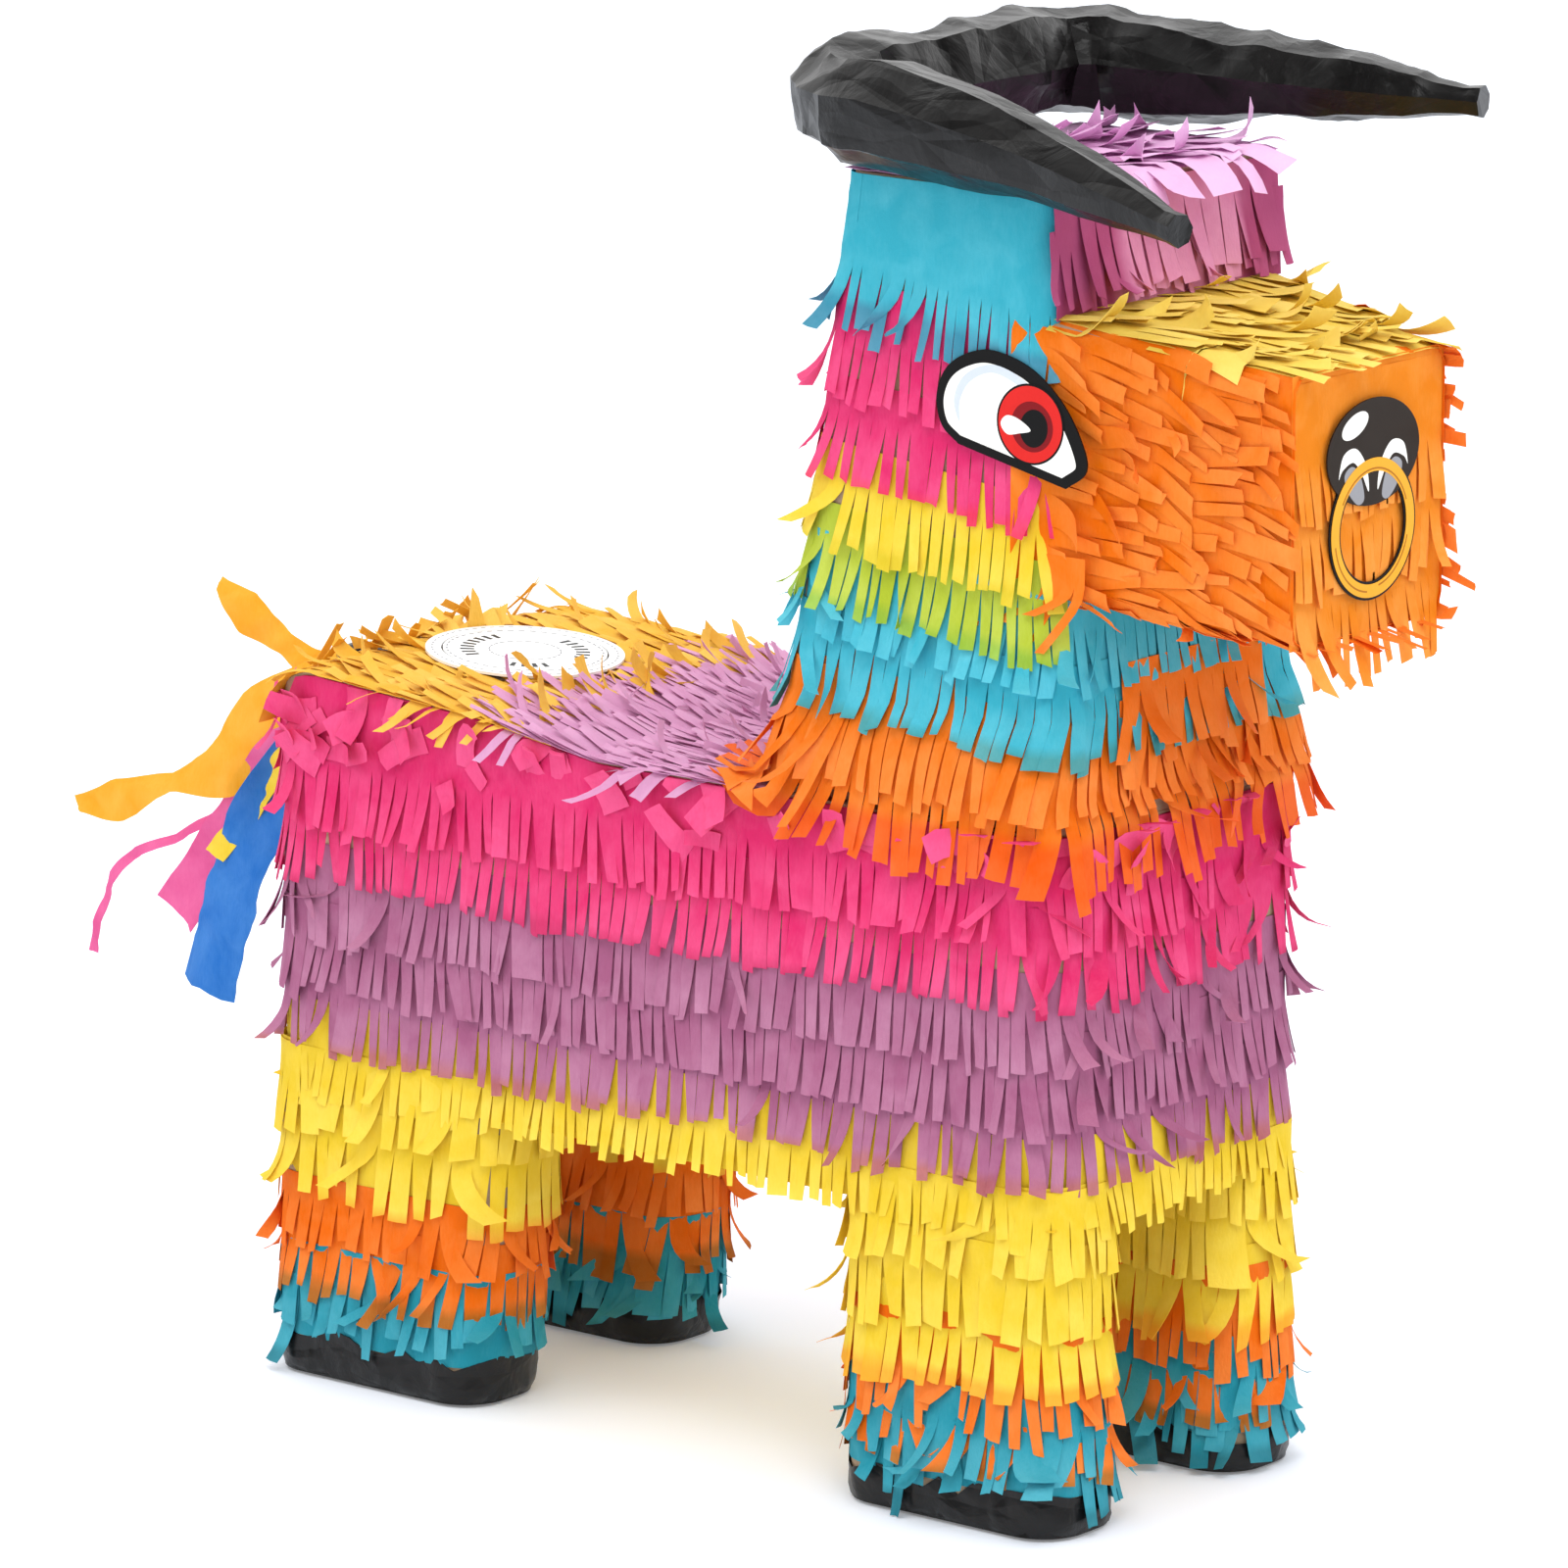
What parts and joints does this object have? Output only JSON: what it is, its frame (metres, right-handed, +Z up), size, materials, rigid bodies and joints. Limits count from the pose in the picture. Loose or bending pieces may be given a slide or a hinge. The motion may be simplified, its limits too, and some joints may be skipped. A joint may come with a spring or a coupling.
{
  "type": "pinata",
  "caption": "Hollow card bull covered in cut tissue fringe, with paper horns, printed face, streamer tail and a round flap in the back for filling with sweets.",
  "frame": {"origin": "middle of the underside of the whole object's bounding box, on the surface it stands on", "axes": "+X from the tail to the muzzle, +Y to the bull's own left, +Z up"},
  "size_m": [0.4698, 0.149, 0.4005],
  "materials": {
    "card": "matt grey-brown card, seen only inside",
    "tissue_black": "black tissue paper, crumpled, slight sheen",
    "tissue_turquoise": "matt tissue, cut in fringe",
    "tissue_orange": "matt tissue, cut in fringe",
    "tissue_yellow": "matt tissue, cut in fringe",
    "tissue_mauve": "matt tissue, cut in fringe",
    "tissue_magenta": "matt tissue, cut in fringe",
    "tissue_golden": "matt tissue, cut in fringe",
    "tissue_lilac": "matt tissue, cut in fringe",
    "tissue_pink": "matt tissue, cut in fringe",
    "tissue_lime": "matt tissue, cut in fringe",
    "tissue_blue": "matt tissue strip",
    "label_print": "smooth printed label, satin"
  },
  "bodies": {
    "carton": {"back_fringe_golden": "tissue_golden", "back_fringe_lilac": "tissue_lilac", "back_panel": "card", "belly_panel": "card", "chest_panel": "card", "eye_label_left": "label_print", "eye_label_right": "label_print", "face_fringe_pink": "tissue_pink", "fill_label_rim": "label_print", "head_fringe_turquoise": "tissue_turquoise", "head_top_fringe_lilac": "tissue_lilac", "head_top_panel": "card", "hoof_pad_front_left": "card", "hoof_pad_front_right": "card", "hoof_pad_rear_left": "card", "hoof_pad_rear_right": "card", "hoof_wraps": "tissue_black", "horn_bridge": "tissue_black", "horn_left": "tissue_black", "horn_right": "tissue_black", "leg_fringe_orange": "tissue_orange", "leg_fringe_turquoise": "tissue_turquoise", "leg_tube_front_left": "card", "leg_tube_front_right": "card", "leg_tube_rear_left": "card", "leg_tube_rear_right": "card", "muzzle_fringe_orange": "tissue_orange", "muzzle_panel": "card", "neck_fringe_lime": "tissue_lime", "neck_fringe_magenta": "tissue_magenta", "neck_fringe_orange": "tissue_orange", "neck_fringe_turquoise": "tissue_turquoise", "neck_fringe_yellow": "tissue_yellow", "neck_sleeve": "card", "nose_label": "label_print", "rump_panel": "card", "side_panel_left": "card", "side_panel_right": "card", "snout_fringe_golden": "tissue_golden", "snout_fringe_orange": "tissue_orange", "snout_sleeve": "card", "tail_knot": "tissue_orange", "tail_streamer_blue": "tissue_blue", "tail_streamer_golden": "tissue_golden", "tail_streamer_orange_high": "tissue_orange", "tail_streamer_orange_low": "tissue_orange", "tail_streamer_pink_curl": "tissue_pink", "tail_streamer_pink_wide": "tissue_pink", "torso_fringe_magenta": "tissue_magenta", "torso_fringe_mauve": "tissue_mauve", "torso_fringe_yellow": "tissue_yellow"},
    "flap": {"fill_flap": "card", "fill_flap_tissue": "tissue_golden", "fill_label": "label_print"}
  },
  "joints": [
    {"name": "fill_flap_lift", "type": "hinge", "parent": "carton", "child": "flap", "pos_m": [-0.08503, 0.00015, 0.20972], "axis": [0, -1, 0], "range_deg": [0, 110]}
  ]
}
